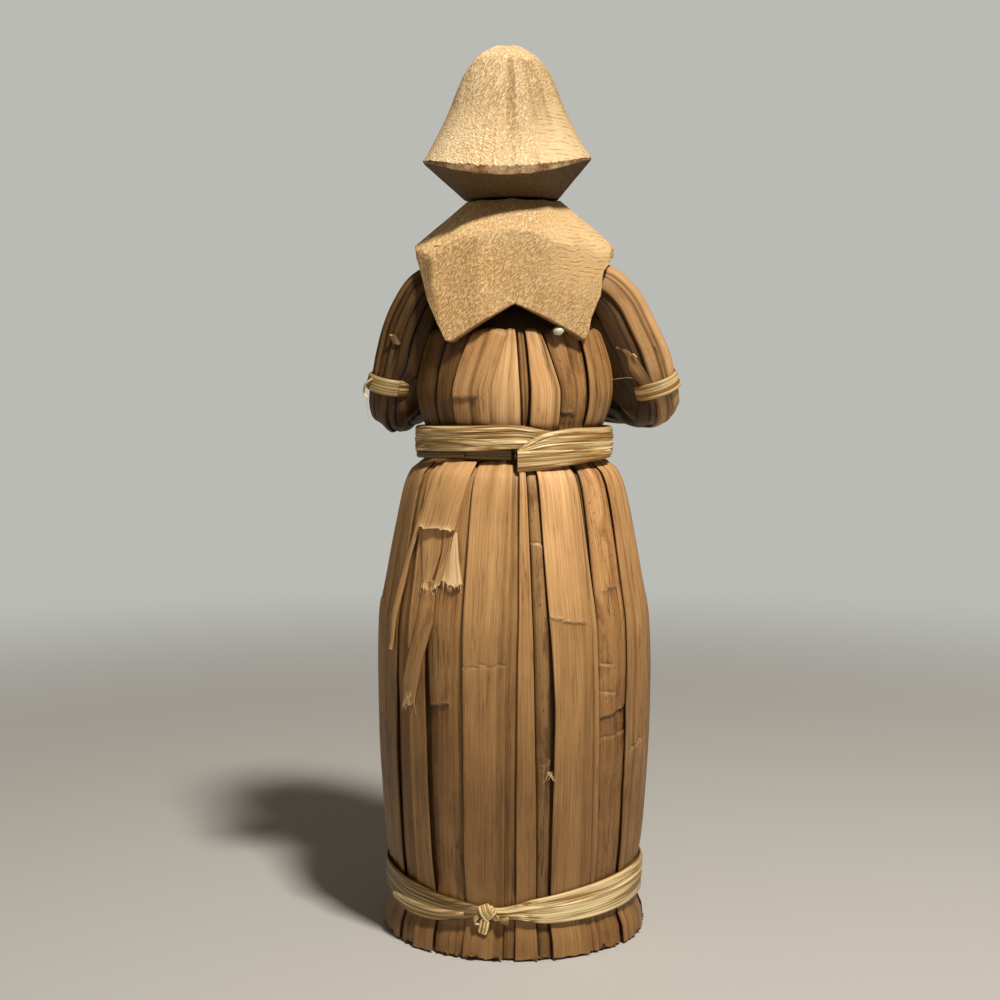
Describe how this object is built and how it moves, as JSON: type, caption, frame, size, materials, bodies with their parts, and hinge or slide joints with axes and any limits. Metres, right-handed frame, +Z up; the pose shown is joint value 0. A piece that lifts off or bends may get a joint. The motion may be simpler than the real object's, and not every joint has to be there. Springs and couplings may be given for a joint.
{
  "type": "husk doll",
  "caption": "Standing folk doll of dry leaf strips tied with raffia, with bent arms, a carved wooden collar and a carved head in a bell-shaped bonnet.",
  "frame": {"origin": "centre of the doll's flat foot, on the surface that it stands on", "axes": "+Z up, -Y the way the doll faces, +X towards the doll's own left hand"},
  "size_m": [0.1003, 0.081, 0.28],
  "materials": {
    "carved_wood": "knife-carved pale hardwood, bare and lightly sanded",
    "dowel_wood": "plain turned dowel",
    "dry_leaf": "dry broad leaf strip with fine veins along it, mottled tan and brown",
    "core_leaf": "dark dry leaf, rolled tight",
    "raffia": "pale ribbed raffia with a soft sheen",
    "glue": "dried white craft glue"
  },
  "bodies": {
    "root": {"arm_roll_left": "core_leaf", "arm_roll_right": "core_leaf", "belt": "raffia", "bodice_leaf_01": "dry_leaf", "bodice_leaf_02": "dry_leaf", "bodice_leaf_03": "dry_leaf", "bodice_leaf_04": "dry_leaf", "bodice_leaf_05": "dry_leaf", "bodice_leaf_06": "dry_leaf", "bodice_leaf_07": "dry_leaf", "bodice_leaf_08": "dry_leaf", "bodice_leaf_09": "dry_leaf", "bodice_leaf_10": "dry_leaf", "bodice_leaf_11": "dry_leaf", "bodice_leaf_12": "dry_leaf", "bodice_leaf_13": "dry_leaf", "bodice_leaf_14": "dry_leaf", "collar": "carved_wood", "core_roll": "core_leaf", "cuff_tie_left": "raffia", "cuff_tie_right": "raffia", "glue_dab": "glue", "head": "carved_wood", "hem_knot": "raffia", "hem_tie": "raffia", "neck_dowel": "dowel_wood", "skirt_leaf_01": "dry_leaf", "skirt_leaf_02": "dry_leaf", "skirt_leaf_03": "dry_leaf", "skirt_leaf_04": "dry_leaf", "skirt_leaf_05": "dry_leaf", "skirt_leaf_06": "dry_leaf", "skirt_leaf_07": "dry_leaf", "skirt_leaf_08": "dry_leaf", "skirt_leaf_09": "dry_leaf", "skirt_leaf_10": "dry_leaf", "skirt_leaf_11": "dry_leaf", "skirt_leaf_12": "dry_leaf", "skirt_leaf_13": "dry_leaf", "skirt_leaf_14": "dry_leaf", "skirt_leaf_15": "dry_leaf", "skirt_leaf_16": "dry_leaf", "skirt_leaf_17": "dry_leaf", "skirt_leaf_18": "dry_leaf", "skirt_leaf_19": "dry_leaf", "skirt_leaf_20": "dry_leaf", "skirt_leaf_21": "dry_leaf", "skirt_leaf_torn": "dry_leaf", "sleeve_leaf_left_1": "dry_leaf", "sleeve_leaf_left_2": "dry_leaf", "sleeve_leaf_left_3": "dry_leaf", "sleeve_leaf_left_4": "dry_leaf", "sleeve_leaf_right_1": "dry_leaf", "sleeve_leaf_right_2": "dry_leaf", "sleeve_leaf_right_3": "dry_leaf", "sleeve_leaf_right_4": "dry_leaf", "waist_binding": "raffia", "wrist_tie_left": "raffia", "wrist_tie_right": "raffia"}
  },
  "joints": []
}
